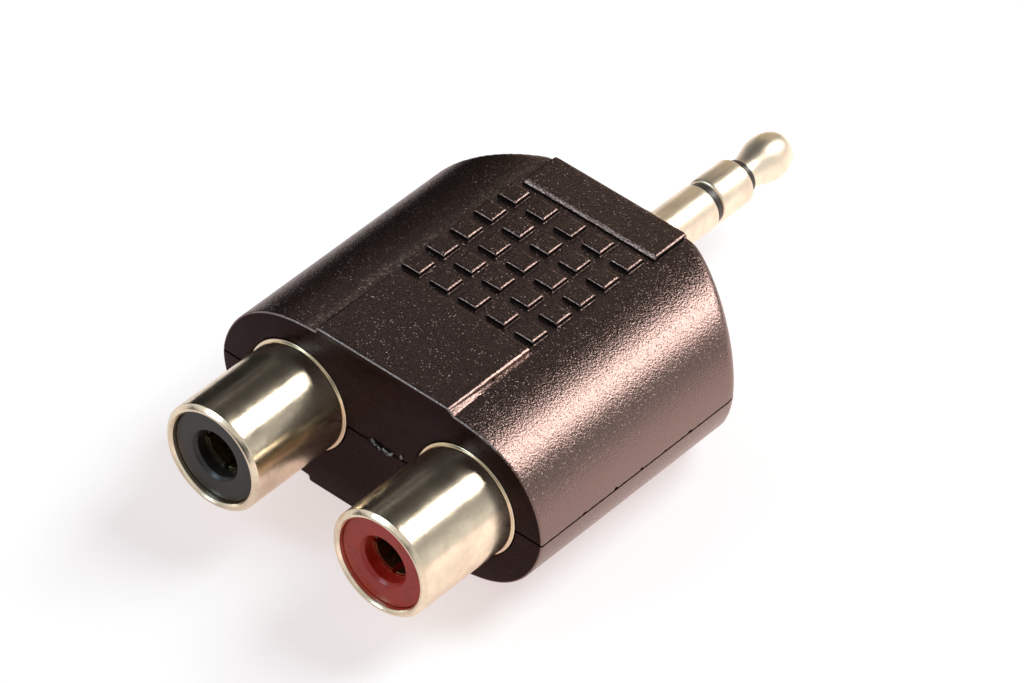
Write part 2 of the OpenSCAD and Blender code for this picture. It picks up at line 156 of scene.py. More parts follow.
# How far it lies behind the barrel's rim, and how thick its front wall is
INSULATOR_RECESS = 0.5
INSULATOR_FRONT = 1.2

# Plug; places along Y run from the nose face outwards
PLUG_R = 1.75
COLLAR_R = 2.9
COLLAR_L = 4.0
SLEEVE_END = 9.3
BAND_L = 0.6
RING_L = 3.3
TIP_L = 4.5
RING_START = SLEEVE_END + BAND_L
RING_END = RING_START + RING_L
TIP_START = RING_END + BAND_L
PLUG_FLANGE_R = 4.1
PLUG_FLANGE_BACK = -3.4
SLEEVE_BACK = -5.0
SLEEVE_BORE_R = 1.44
# The ring narrows to this radius over this length at its front
RING_NECK_R, RING_NECK_L = 1.42, 0.12
# Outer and inner radius of each inner layer, and where it ends behind the nose
REAR_TUBE_R, REAR_BORE_R, REAR_BACK = 1.42, 1.14, -5.4
RING_TUBE_R, RING_BORE_R, RING_BACK = 1.12, 0.87, -6.5
FRONT_TUBE_R, FRONT_BORE_R, FRONT_BACK = 0.85, 0.57, -7.2
ROD_R = 0.55
RIVET_R, RIVET_START, RIVET_END = 1.0, -8.0, -7.6
# Radius of the two dark bands, which lie below the plug's surface
REAR_BAND_R = 1.58
FRONT_BAND_R = 1.32
TIP_NECK_R = 1.15
TIP_BULGE_R = 1.7
TIP_BULGE_Y = 2.7
TIP_FLAT_R = 0.75


# Materials


def new_material(name):
    """A material with its node tree, its shader and the object coordinates in millimetres."""
    mat = bpy.data.materials.new(name)
    mat.use_nodes = True
    tree = mat.node_tree
    shader = tree.nodes["Principled BSDF"]
    where = tree.nodes.new("ShaderNodeTexCoord")
    scale = tree.nodes.new("ShaderNodeVectorMath")
    scale.operation = "SCALE"
    scale.inputs["Scale"].default_value = 1 / MM
    tree.links.new(where.outputs["Object"], scale.inputs[0])
    return mat, tree, shader, scale.outputs[0]


def add_noise(tree, where, scale, detail=2.0, rough=0.55, stretch=None):
    """Noise in cycles per millimetre; stretch scales the coordinates of each axis first."""
    if stretch:
        mapping = tree.nodes.new("ShaderNodeMapping")
        mapping.inputs["Scale"].default_value = stretch
        tree.links.new(where, mapping.inputs["Vector"])
        where = mapping.outputs["Vector"]
    node = tree.nodes.new("ShaderNodeTexNoise")
    node.inputs["Scale"].default_value = scale
    node.inputs["Detail"].default_value = detail
    node.inputs["Roughness"].default_value = rough
    tree.links.new(where, node.inputs["Vector"])
    return node.outputs["Fac"]


def remap(tree, value, low, high, to_low=0.0, to_high=1.0):
    """The value moved from one range to another and held inside it."""
    node = tree.nodes.new("ShaderNodeMapRange")
    node.inputs["From Min"].default_value = low
    node.inputs["From Max"].default_value = high
    node.inputs["To Min"].default_value = to_low
    node.inputs["To Max"].default_value = to_high
    tree.links.new(value, node.inputs["Value"])
    return node.outputs["Result"]


def math_node(tree, operation, a, b):
    """A math node; a and b are numbers or the outputs of other nodes."""
    node = tree.nodes.new("ShaderNodeMath")
    node.operation = operation
    for socket, value in zip(node.inputs, (a, b)):
        if isinstance(value, (int, float)):
            socket.default_value = value
        else:
            tree.links.new(value, socket)
    return node.outputs[0]


def times(tree, a, b):
    return math_node(tree, "MULTIPLY", a, b)


def plus(tree, a, b):
    return math_node(tree, "ADD", a, b)


def mix_colour(tree, factor, a, b):
    """Colour a where the factor is 0 and colour b where it is 1."""
    node = tree.nodes.new("ShaderNodeMix")
    node.data_type = "RGBA"
    for label, value in (("Factor", factor), ("A", a), ("B", b)):
        socket = node.inputs[label]
        if isinstance(value, tuple):
            socket.default_value = (*value, 1)
        else:
            tree.links.new(value, socket)
    return node.outputs["Result"]


def add_bump(tree, shader, height, distance, after=None):
    """Bump of a height field; distance is in millimetres, and after is the normal it builds on."""
    node = tree.nodes.new("ShaderNodeBump")
    node.inputs["Strength"].default_value = 1.0
    node.inputs["Distance"].default_value = distance * MM
    tree.links.new(height, node.inputs["Height"])
    if after:
        tree.links.new(after, node.inputs["Normal"])
    tree.links.new(node.outputs["Normal"], shader.inputs["Normal"])
    return node.outputs["Normal"]


def split_axes(tree, vector):
    """The X, Y and Z outputs of a vector."""
    split = tree.nodes.new("ShaderNodeSeparateXYZ")
    tree.links.new(vector, split.inputs[0])
    return split.outputs


def dust(tree, where, scale, size, share):
    """Tiny round specks of uneven brightness in a share of the cells of a Voronoi pattern."""
    cells = tree.nodes.new("ShaderNodeTexVoronoi")
    cells.feature = "F1"
    cells.inputs["Scale"].default_value = scale
    tree.links.new(where, cells.inputs["Vector"])
    speck = remap(tree, cells.outputs["Distance"], size, size * 0.5)
    split = tree.nodes.new("ShaderNodeSeparateColor")
    tree.links.new(cells.outputs["Color"], split.inputs[0])
    chosen = math_node(tree, "LESS_THAN", split.outputs[0], share)
    uneven = remap(tree, split.outputs[1], 0, 1, 0.35, 1.0)
    return times(tree, speck, times(tree, chosen, uneven))


def powder_beside_pad(tree, where, across, blotch):
    """Share of a powdery streak along the left side of the rear pad."""
    from_line = math_node(tree, "ABSOLUTE", plus(tree, across, -POWDER_X), 0)
    streak = remap(tree, plus(tree, from_line, times(tree, blotch, 1.2)), 1.3, 0.55)
    powder = remap(tree, add_noise(tree, where, 5.5, 2, 0.7), 0.46, 0.64, 0.0, 0.6)
    return times(tree, powder, streak)


def textured_plastic():
    """Black plastic with the fine grain of a spark-eroded mould and a film of pale specks, partly dust
    and partly painted glints.
    """
    mat, tree, shader, where = new_material("housing_textured")
    axes = split_axes(tree, where)
    blotch = add_noise(tree, where, 0.35, 3)
    grain = add_noise(tree, where, 6.4, 2, 0.6)
    fine = add_noise(tree, where, 14, 1)
    tone = remap(tree, blotch, 0.35, 0.65)
    base = mix_colour(tree, tone, (0.004, 0.0024, 0.0019), (0.006, 0.0037, 0.003))
    peaks = remap(tree, grain, 0.45, 0.62, 0.0, 0.8)
    base = mix_colour(tree, peaks, base, (0.0122, 0.0068, 0.0048))
    near_face = remap(tree, axes["Y"], -12, 4, 1.0, 0.45)
    patch = remap(tree, add_noise(tree, where, 0.3, 2), 0.35, 0.6, 0.35, 1.0)
    dust_and_glint_share = times(tree, times(tree, near_face, patch), 0.85)
    # Pale specks, denser towards the socket face: partly dust and partly painted glints of the grain;
    # they also raise small bumps that catch real glints
    points = dust(tree, where, 4.6, 0.265, 0.55)
    base = mix_colour(tree, times(tree, points, dust_and_glint_share), base, (0.5, 0.45, 0.42))
    powder = times(tree, powder_beside_pad(tree, where, axes["X"], blotch), near_face)
    base = mix_colour(tree, powder, base, (0.3, 0.24, 0.2))
    motes = dust(tree, where, 1.5, 0.09, 0.35)
    base = mix_colour(tree, times(tree, motes, 0.7), base, (0.55, 0.5, 0.46))
    tree.links.new(base, shader.inputs["Base Color"])
    tree.links.new(remap(tree, fine, 0.3, 0.7, 0.18, 0.29), shader.inputs["Roughness"])
    shader.inputs["IOR"].default_value = 1.92
    shader.inputs["Specular IOR Level"].default_value = 1.0
    shader.inputs["Specular Tint"].default_value = (1.0, 0.68, 0.6, 1)
    first = add_bump(tree, shader, grain, 0.042)
    second = add_bump(tree, shader, points, 0.02, after=first)
    add_bump(tree, shader, motes, 0.05, after=second)
    return mat


def smooth_plastic_in_painted_shade():
    """The same plastic from a polished part of the mould, darkened into painted shade."""
    mat, tree, shader, where = new_material("housing_smooth_painted_shade")
    tone = remap(tree, add_noise(tree, where, 0.5, 3), 0.35, 0.65)
    # Dim red-brown colour, darker than the shell: painted shade of the cable plugs that would sit in the
    # sockets
    base = mix_colour(tree, tone, (0.0075, 0.0009, 0.0009), (0.014, 0.0024, 0.0024))
    specks = dust(tree, where, 3.0, 0.09, 0.1)
    base = mix_colour(tree, times(tree, specks, 0.5), base, (0.3, 0.27, 0.25))
    tree.links.new(base, shader.inputs["Base Color"])
    roughness = remap(tree, add_noise(tree, where, 1.2, 4), 0.3, 0.7, 0.2, 0.34)
    tree.links.new(roughness, shader.inputs["Roughness"])
    shader.inputs["IOR"].default_value = 1.5
    # A weak reflection, also part of the painted shade
    shader.inputs["Specular IOR Level"].default_value = 0.12
    shader.inputs["Specular Tint"].default_value = (1.0, 0.45, 0.42, 1)
    first = add_bump(tree, shader, add_noise(tree, where, 14, 2), 0.006)
    scratches = add_noise(tree, where, 1.0, 2, stretch=(0.6, 1, 9))
    add_bump(tree, shader, remap(tree, scratches, 0.6, 0.66), 0.004, after=first)
    return mat


def nickel(name, tone, rough=(0.16, 0.27)):
    """Turned brass under nickel plate: fine rings round the axis, small stains and pits."""
    mat, tree, shader, where = new_material(name)
    stain = add_noise(tree, where, 0.55, 4, 0.6)
    dark = tuple(0.82 * c for c in tone)
    base = mix_colour(tree, remap(tree, stain, 0.4, 0.66), tone, dark)
    pits = dust(tree, where, 3.4, 0.07, 0.12)
    base = mix_colour(tree, times(tree, pits, 0.7), base, (0.2, 0.14, 0.09))
    tree.links.new(base, shader.inputs["Base Color"])
    shader.inputs["Metallic"].default_value = 1.0
    tree.links.new(remap(tree, stain, 0.3, 0.7, *rough), shader.inputs["Roughness"])
    rings = add_noise(tree, where, 1.0, 3, 0.6, stretch=(0.05, 14, 0.05))
    first = add_bump(tree, shader, rings, 0.0035)
    ripple = add_noise(tree, where, 2.5, 2)
    add_bump(tree, shader, ripple, 0.006, after=first)
    return mat


def moulded(name, deep, pale, rough=(0.25, 0.38), level=0.5, bump=0.008, marks=0.8):
    """Small moulded plastic piece: faint flow marks and a fine skin."""
    mat, tree, shader, where = new_material(name)
    flow = add_noise(tree, where, marks, 4, 0.6)
    base = mix_colour(tree, remap(tree, flow, 0.35, 0.65), deep, pale)
    specks = dust(tree, where, 3.2, 0.08, 0.06)
    base = mix_colour(tree, times(tree, specks, 0.4), base, (0.45, 0.4, 0.36))
    tree.links.new(base, shader.inputs["Base Color"])
    tree.links.new(remap(tree, flow, 0.3, 0.7, *rough), shader.inputs["Roughness"])
    shader.inputs["Specular IOR Level"].default_value = level
    add_bump(tree, shader, add_noise(tree, where, 9, 3), bump)
    return mat


def worn_edge():
    """The shiny fillet between the socket face and the textured shell."""
    deep, pale = (0.008, 0.006, 0.006), (0.016, 0.013, 0.013)
    mat = moulded("housing_edge", deep, pale, (0.2, 0.36), 1.0, 0.03)
    shader = mat.node_tree.nodes["Principled BSDF"]
    shader.inputs["IOR"].default_value = 2.2
    shader.inputs["Specular Tint"].default_value = (1.0, 0.82, 0.78, 1)
    return mat


def painted_shade_plastic():
    """Painted shade: a near-black, dull plastic for the steep walls under the raised edges and the dark
    spots round the flash crumbs.
    """
    deep, pale = (0.0012, 0.0008, 0.0007), (0.0026, 0.0017, 0.0014)
    return moulded("housing_painted_shade", deep, pale, (0.5, 0.62), 0.06, 0.004)


def sheet_metal(name, tone, rough=(0.22, 0.4), grain=(1, 1, 12)):
    """Rolled or drawn metal with a direction in its grain."""
    mat, tree, shader, where = new_material(name)
    stain = add_noise(tree, where, 0.9, 4, 0.6)
    dark = tuple(0.74 * c for c in tone)
    base = mix_colour(tree, remap(tree, stain, 0.38, 0.68), tone, dark)
    tree.links.new(base, shader.inputs["Base Color"])
    shader.inputs["Metallic"].default_value = 1.0
    tree.links.new(remap(tree, stain, 0.3, 0.7, *rough), shader.inputs["Roughness"])
    add_bump(tree, shader, add_noise(tree, where, 1.4, 3, stretch=grain), 0.006)
    return mat


def stranded_copper():
    """Copper with the lay of its strands as waves."""
    mat, tree, shader, where = new_material("copper_core")
    strands = tree.nodes.new("ShaderNodeTexWave")
    strands.inputs["Scale"].default_value = 2.2
    strands.inputs["Distortion"].default_value = 1.5
    strands.inputs["Detail"].default_value = 2.0
    tree.links.new(where, strands.inputs["Vector"])
    lay = strands.outputs["Fac"]
    base = mix_colour(tree, lay, (0.42, 0.2, 0.1), (0.78, 0.43, 0.24))
    tree.links.new(base, shader.inputs["Base Color"])
    shader.inputs["Metallic"].default_value = 1.0
    tree.links.new(remap(tree, lay, 0, 1, 0.28, 0.42), shader.inputs["Roughness"])
    add_bump(tree, shader, lay, 0.05)
    return mat


TEXTURED = textured_plastic()
SMOOTH_PAINTED_SHADE = smooth_plastic_in_painted_shade()
EDGE = worn_edge()
PAINTED_SHADE = painted_shade_plastic()
NICKEL = nickel("nickel_plate", (0.92, 0.79, 0.6))
PLUG_NICKEL = nickel("nickel_plug", (0.97, 0.84, 0.66), (0.33, 0.43))
BAND = moulded("plug_band", (0.035, 0.026, 0.021), (0.06, 0.046, 0.038), (0.3, 0.42))
SOCKET_BLACK = moulded("socket_black", (0.018, 0.015, 0.014), (0.03, 0.026, 0.024))
SOCKET_RED = moulded("socket_red", (0.5, 0.02, 0.012), (0.62, 0.035, 0.018))
CONTACT = sheet_metal("spring_brass", (0.83, 0.66, 0.36), (0.18, 0.3), (1, 12, 1))
TINNED = sheet_metal("tinned_brass", (0.74, 0.72, 0.66))
LAMINATE = moulded("laminate_washer", (0.26, 0.1, 0.05), (0.4, 0.18, 0.09), (0.45, 0.6), 0.3, 0.02)
COPPER = stranded_copper()
PVC_WHITE = moulded("pvc_white", (0.72, 0.7, 0.64), (0.82, 0.8, 0.75), (0.4, 0.5), 0.4)
PVC_RED = moulded("pvc_red", (0.5, 0.03, 0.02), (0.6, 0.05, 0.03), (0.4, 0.5), 0.4)
PVC_BLACK = moulded("pvc_black", (0.02, 0.02, 0.02), (0.035, 0.034, 0.033), (0.4, 0.5), 0.4)
FLASH = moulded("torn_flash", (0.006, 0.004, 0.004), (0.9, 0.84, 0.8), (0.25, 0.45), 0.5, 0.05, 3.4)
SOLDER = sheet_metal("solder", (0.66, 0.66, 0.65), (0.25, 0.5), (2, 2, 2))

# The housing's materials, the third of them painted shade, and the index of each
HOUSING_MATERIALS = (TEXTURED, SMOOTH_PAINTED_SHADE, PAINTED_SHADE, EDGE)
TEXTURED_SLOT, SMOOTH_PAINTED_SHADE_SLOT, PAINTED_SHADE_SLOT, EDGE_SLOT = range(4)


# Mesh helpers


def add_object(name, data):
    """An object with the given data, linked to the scene."""
    obj = bpy.data.objects.new(name, data)
    bpy.context.scene.collection.objects.link(obj)
    return obj


def make_object(name, verts, faces, materials, face_materials=None):
    """A mesh object from millimetre points, with a material index for each face if given."""
    mesh = bpy.data.meshes.new(name)
    mesh.from_pydata([tuple(c * MM for c in v) for v in verts], [], faces)
    for mat in materials:
        mesh.materials.append(mat)
    if face_materials is not None:
        mesh.polygons.foreach_set("material_index", face_materials)
    mesh.validate()
    return add_object(name, mesh)


def face_outwards(obj):
    """Turns every face of a closed mesh outwards."""
    bm = bmesh.new()
    bm.from_mesh(obj.data)
    bmesh.ops.recalc_face_normals(bm, faces=bm.faces)
    bm.to_mesh(obj.data)
    bm.free()


def shade(obj, angle=34):
    """Smooth shading, flat on many-sided faces, sharp past an angle."""
    mesh = obj.data
    mesh.polygons.foreach_set("use_smooth", [len(p.vertices) <= 4 for p in mesh.polygons])
    mesh.set_sharp_from_angle(angle=math.radians(angle))
    mesh.update()


def cut(obj, tool):
    """Takes the tool away from the object and deletes the tool."""
    mod = obj.modifiers.new("cut", "BOOLEAN")
    mod.operation = "DIFFERENCE"
    mod.solver = "EXACT"
    mod.object = tool
    bpy.context.view_layer.objects.active = obj
    bpy.ops.object.modifier_apply(modifier="cut")
    bpy.data.objects.remove(tool, do_unlink=True)


def dress(obj, node):
    """The object shows in place of a CAD node, which is hidden, and hangs under the root body."""
    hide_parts(node)
    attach(obj, "root")


def arc_corner(before, corner, after, radius):
    """Points of a fillet in the corner between two straight runs."""
    before, corner, after = (np.array(point, float) for point in (before, corner, after))
    a, b = before - corner, after - corner
    length_a, length_b = np.linalg.norm(a), np.linalg.norm(b)
    a, b = a / length_a, b / length_b
    half = math.acos(max(-1.0, min(1.0, float(a @ b)))) / 2
    reach = min(radius / math.tan(half), length_a * 0.49, length_b * 0.49)
    radius = reach * math.tan(half)
    bisector = (a + b) / np.linalg.norm(a + b)
    centre = corner + bisector * radius / math.sin(half)
    start, end = corner + a * reach - centre, corner + b * reach - centre
    turn = math.atan2(start[0] * end[1] - start[1] * end[0], float(start @ end))
    points = []
    for i in range(FILLET_STEPS + 1):
        t = turn * i / FILLET_STEPS
        c, s = math.cos(t), math.sin(t)
        x = centre[0] + c * start[0] - s * start[1]
        y = centre[1] + s * start[0] + c * start[1]
        points.append((x, y))
    return points


def rounded(profile):
    """A closed profile of (radius, y, fillet) corners turned into (radius, y) points."""
    points = []
    for i, (r, y, fillet) in enumerate(profile):
        before, after = profile[i - 1][:2], profile[(i + 1) % len(profile)][:2]
        if fillet:
            points += arc_corner(before, (r, y), after, fillet)
        else:
            points.append((r, y))
    return points


def lathe(name, profile, x, material, steps=128):
    """A solid turned about the axis along Y through (x, middle height); the profile is closed."""
    verts, rings = [], []
    for r, y in profile:
        if r < 1e-6:
            rings.append([len(verts)] * steps)
            verts.append((x, y, MID_Z))
            continue
        rings.append(list(range(len(verts), len(verts) + steps)))
        for k in range(steps):
            a = 2 * math.pi * k / steps
            verts.append((x + r * math.cos(a), y, MID_Z + r * math.sin(a)))
    faces = []
    for i, ring in enumerate(rings):
        ahead = rings[(i + 1) % len(rings)]
        for k in range(steps):
            n = (k + 1) % steps
            face = list(dict.fromkeys([ring[k], ring[n], ahead[n], ahead[k]]))
            if len(face) > 2:
                faces.append(face)
    obj = make_object(name, verts, faces, [material])
    face_outwards(obj)
    shade(obj)
    return obj


# Lines of the housing's mesh


def section_z(x):
    """Height of the section above the parting plane."""
    t = np.clip((np.abs(x) - CROWN) / (HALF_W - CROWN), 0, 1)
    return SHELL_RISE * (1 - t**SHOULDER_POWER) ** (1 / SIDE_POWER)


def side_points(limit, spacing):
    """Evenly spaced (x, z) points of the section from the parting plane up to x = limit."""
    a = np.linspace(0, math.pi / 2, 4000)
    x = CROWN + (HALF_W - CROWN) * np.cos(a) ** (2 / SHOULDER_POWER)
    z = SHELL_RISE * np.sin(a) ** (2 / SIDE_POWER)
    keep = x >= limit
    x, z = x[keep], z[keep]
    run = np.concatenate([[0], np.cumsum(np.hypot(np.diff(x), np.diff(z)))])
    marks = np.concatenate([[0, 0.16, 0.34], np.arange(0.55, run[-1], spacing)])
    return np.interp(marks, run, x), np.interp(marks, run, z)


def edge_table(top_wide, top_deep, draft=0.02, foot=0.03, start=0.1, steps=6):
    """Raised edge as (distance inside the nominal edge, share of the rise), from foot to flat top."""
    wall = start - top_wide
    points = [
        (wall - draft - foot, 0.0),
        (wall - draft - 0.3 * foot, 0.3 * foot),
        (wall - draft, foot),
    ]
    for i in range(steps + 1):
        t = math.pi / 2 * (1 - i / steps)
        depth = start - top_wide * math.sin(t)
        points.append((depth, PAD_RISE - top_deep * (1 - math.cos(t))))
    return np.array([(d, h / PAD_RISE) for d, h in points])


GRIP_EDGE = edge_table(0.2, 0.1)
PAD_SIDE_EDGE = edge_table(0.26, 0.12, 0.05, 0.005, 0.14)
PAD_END_EDGE = edge_table(0.16, 0.12)
# The near edge of the nose pad is a flat chamfer above its wall
NOSE_PAD_EDGE = np.array([
    (-0.14, 0),
    (-0.13, 0.03),
    (-0.12, 0.42),
    (-0.11, 0.45),
    (0.13, 0.98),
    (0.15, 1),
])


def edge_lines(edge, outward, table):
    """Grid lines that carry an edge: at the points of its profile and just past both ends."""
    first, last = table[0, 0], table[-1, 0]
    depths = list(table[:, 0]) + [first - 0.04, first - 0.14, last + 0.04, last + 0.12]
    return [edge - outward * d for d in depths]


def thin_out(values):
    """Sorted values with none closer together than the least step."""
    out = []
    for v in sorted(values):
        if not out or v - out[-1] >= LEAST_STEP:
            out.append(v)
    return np.array(out)


def crown_lines():
    """Places along X of the lines that run along the crown."""
    lines = []
    for side in (-1, 1):
        lines += edge_lines(side * PAD_HALF, side, PAD_SIDE_EDGE)
        lines += edge_lines(REAR_PAD_X + side * PAD_HALF, side, PAD_SIDE_EDGE)
        for step in GRIP_STEPS:
            lines += edge_lines(GRIP_X + step + side * GRIP_HALF, side, GRIP_EDGE)
    scraped = np.concatenate([np.arange(-0.09, 0.74, SCRAPED_STEP), [SCRATCHES[0][0]]])
    lines += list(REAR_PAD_X + PAD_HALF + scraped)
    lines += list(np.arange(-6.4, 6.41, CROWN_STEP))
    lines = thin_out(lines)
    return lines[np.abs(lines) < STRIP_HALF]


def length_lines():
    """Places along Y of the lines across the housing, between its two end fillets."""
    lines = edge_lines(REAR_PAD_END, 1, PAD_END_EDGE)
    lines += edge_lines(NOSE_PAD_START, -1, NOSE_PAD_EDGE)
    for side in (-1, 1):
        for step in GRIP_STEPS:
            lines += edge_lines(GRIP_Y + step + side * GRIP_HALF, side, GRIP_EDGE)
    lines += list(np.arange(FACE_Y + 0.3, REAR_PAD_END - 0.1, REAR_STEP))
    lines += list(np.arange(REAR_PAD_END, NOSE_PAD_START, MIDDLE_STEP))
    lines += list(np.arange(NOSE_PAD_START, NOSE_Y - NOSE_EDGE_R, NOSE_STEP))
    first, last = FACE_Y + EDGE_R + 0.05, NOSE_Y - NOSE_EDGE_R - 0.05
    return thin_out([v for v in lines if first < v < last])


def outside_lines():
    """Side points, crown lines, length lines and the (y, inset) steps of the front and back fillet."""
    arc = np.linspace(0, math.pi / 2, FILLET_STEPS + 1)
    front_y, back_y = FACE_Y + EDGE_R, NOSE_Y - NOSE_EDGE_R
    front = [(front_y - EDGE_R * math.cos(t), EDGE_R * (1 - math.sin(t))) for t in arc]
    back = [(back_y + NOSE_EDGE_R * math.sin(t), NOSE_EDGE_R * (1 - math.cos(t))) for t in arc]
    return side_points(SIDE_TO, SIDE_STEP), crown_lines(), length_lines(), front, back


def cavity_lines():
    """The same for the cavity, which is coarser and has square ends."""
    start, end = FACE_Y + FACE_WALL, NOSE_Y - NOSE_WALL
    side = side_points(CAVITY_SIDE_TO, CAVITY_SIDE_STEP)
    lengths = np.linspace(start, end, 28)[1:-1]
    return side, np.linspace(-6, 6, 13), lengths, [(start, 0.0)], [(end, 0.0)]


# Raised forms of the housing


def rise(depth, table):
    """Share of the rise at a distance inside an edge."""
    return np.interp(depth, table[:, 0], table[:, 1])


def wobble(y, seed, rate):
    """A column of noise that runs along Y."""
    return np.array([noise.noise(Vector((seed, v * rate, 0.37))) for v in y[:, 0]])[:, None]


def bell(distance, half_width):
    return np.exp(-((distance / half_width) ** 2))


def slope_profile(out, along, seed):
    """Share of the rise of the worn slope without its damage, and where its foot lies."""
    share = np.zeros_like(out)
    ends = np.zeros_like(along)
    # Towards the pad's end the slope gets narrower and drops sooner
    for j, a in enumerate(along[:, 0] ** 0.8):
        ends[j] = 0.56 - 0.29 * a
        places = (0, 0.15, 0.18, 0.46 - 0.22 * a, ends[j, 0])
        shares = (1, 0.79, max(0.03, 0.74 - 1.15 * a), 0.18 * max(0.0, 1 - 1.5 * a), 0)
        share[j] = np.interp(out[j], places, shares)
        # A dotted ridge runs along its far half
        if a > 0.5:
            dots = 0.6 + 2.4 * noise.noise(Vector((seed, a * 41.0, 2.2)))
            share[j] += 0.09 * min(1.0, max(0.0, dots)) * bell(out[j] - 0.29, 0.024)
    return share, ends


def scraped_slope(x, y, seed):
    """Share of the rise on the rear pad's right side: scraped wide near the face, torn in the middle."""
    along = np.clip((y - FACE_Y) / (REAR_PAD_END - FACE_Y), 0, 1)
    out = x - REAR_PAD_X - PAD_HALF - 0.012 * wobble(y, seed, 2.0)
    share, ends = slope_profile(out, along, seed)
    for k, (place, deep, wide) in enumerate(SCRATCHES):
        centre = place + 0.012 * wobble(y, seed + 5 * k, 1.6)
        share = share - deep * bell(out - centre, wide) * (1 - along) * (out < ends - 0.03)
    torn = bell(along - 0.46, 0.15) * (out > 0.16) * (out < ends)
    rows = [[noise.noise(Vector((a * 11.0, b * 6.0, seed))) for a in x[0]] for b in y[:, 0]]
    share = share + 0.2 * torn * np.array(rows)
    for place, run, tall, size in LUMPS:
        spread = ((out - place) / size) ** 2 + ((along - run) * REAR_PAD_L / size / LUMP_STRETCH) ** 2
        share = share + tall * np.exp(-spread)
    return np.clip(share, 0, 1.06)


def feature_height(x, y, seed):
    """Share of the way from the shell's surface up to the level of the pads, at grid points."""
    left_side = rise(PAD_HALF + (x - REAR_PAD_X), PAD_SIDE_EDGE)
    sides = np.where(x < SLOPE_FROM, left_side, scraped_slope(x, y, seed))
    rear_pad = sides * rise(REAR_PAD_END - y, PAD_END_EDGE)
    nose_pad = rise(PAD_HALF - np.abs(x), PAD_SIDE_EDGE) * rise(y - NOSE_PAD_START, NOSE_PAD_EDGE)
    up = np.maximum(rear_pad, nose_pad)
    for step_x in GRIP_STEPS:
        for step_y in GRIP_STEPS:
            inside_x = GRIP_HALF - np.abs(x - GRIP_X - step_x)
            inside_y = GRIP_HALF - np.abs(y - GRIP_Y - step_y)
            up = np.maximum(up, rise(inside_x, GRIP_EDGE) * rise(inside_y, GRIP_EDGE))
    return up


# Housing


def nose_radius(y):
    """Radius of the turned nose at y, and a very large one behind it."""
    u = np.clip(1 - (NOSE_Y - y) / NOSE_TAPER, 0, 1)
    wide = HALF_W + NOSE_RUN_OUT - NOSE_R
    r = NOSE_R + wide * (1 - u**NOSE_POWER) ** (1 / NOSE_POWER)
    return np.where(y < NOSE_Y - NOSE_TAPER, NO_LIMIT, r)


def soft_min(a, b, k):
    """The lesser of a and b, blended over k where they are close."""
    h = np.clip(0.5 + 0.5 * (b - a) / k, 0, 1)
    return b + (a - b) * h - k * h * (1 - h)


def pull_to_nose(x, y, z, blend):
    """Grid points drawn in to the turned nose."""
    rho = np.hypot(x, z)
    limit = nose_radius(y)
    shrunk = np.where(limit == NO_LIMIT, rho, soft_min(rho, limit, blend))
    return x * shrunk / rho, z * shrunk / rho


def move_in(x, z, depth):
    """Grid points moved in by depth, square to their section."""
    tx, tz = np.gradient(x, axis=1), np.gradient(z, axis=1)
    length = np.hypot(tx, tz)
    nx, nz = tz / length, -tx / length
    nx[:, 0], nz[:, 0] = 1, 0
    nx[:, -1], nz[:, -1] = -1, 0
    return x - nx * depth, z - nz * depth


def steep_walls(x, y, z):
    """Which grid faces are steep walls under the raised edges, which get painted shade."""
    grid = np.stack([x, y, z], axis=-1)
    normal = np.cross(grid[:-1, 1:] - grid[1:, :-1], grid[1:, 1:] - grid[:-1, :-1])
    wall = np.abs(normal[..., 2]) < STEEP * np.linalg.norm(normal, axis=-1)
    mid = (grid[:-1, 1:] + grid[1:, :-1]) / 2
    crown = (np.abs(mid[..., 0]) < PAINTED_SHADE_HALF) & (mid[..., 2] > PAINTED_SHADE_ABOVE)
    scraped = (mid[..., 0] > SCRAPED_FROM) & (mid[..., 1] < REAR_PAD_END - 0.1)
    ends = (mid[..., 1] < FACE_Y + 0.2) | (mid[..., 1] > NOSE_Y - 0.2)
    return wall & crown & ~scraped & ~ends


def outside_kinds(x, y, z):
    """Material index of each grid face: painted shade on steep walls, and a worn front fillet over the
    sockets.
    """
    kinds = np.where(steep_walls(x, y, z), PAINTED_SHADE_SLOT, TEXTURED_SLOT)
    corner_x, corner_z = x[1:FILLET_STEPS + 1, 1:], z[1:FILLET_STEPS + 1, 1:]
    worn = (corner_x > WORN_FROM) & (corner_x < WORN_TO) & (corner_z > WORN_ABOVE)
    kinds[:FILLET_STEPS] = np.where(worn, EDGE_SLOT, TEXTURED_SLOT)
    return kinds


def grid_faces(rows, cols):
    """Faces of a grid of points, then its front end, its back end and the flat side that closes it."""
    faces = []
    for j in range(rows - 1):
        for i in range(cols - 1):
            a = j * cols + i
            faces.append([a, a + 1, a + 1 + cols, a + cols])
    front = list(range(cols))[::-1]
    back = [(rows - 1) * cols + i for i in range(cols)]
    flat = [j * cols for j in range(rows)] + [j * cols + cols - 1 for j in range(rows - 1, -1, -1)]
    return faces + [front, back, flat]


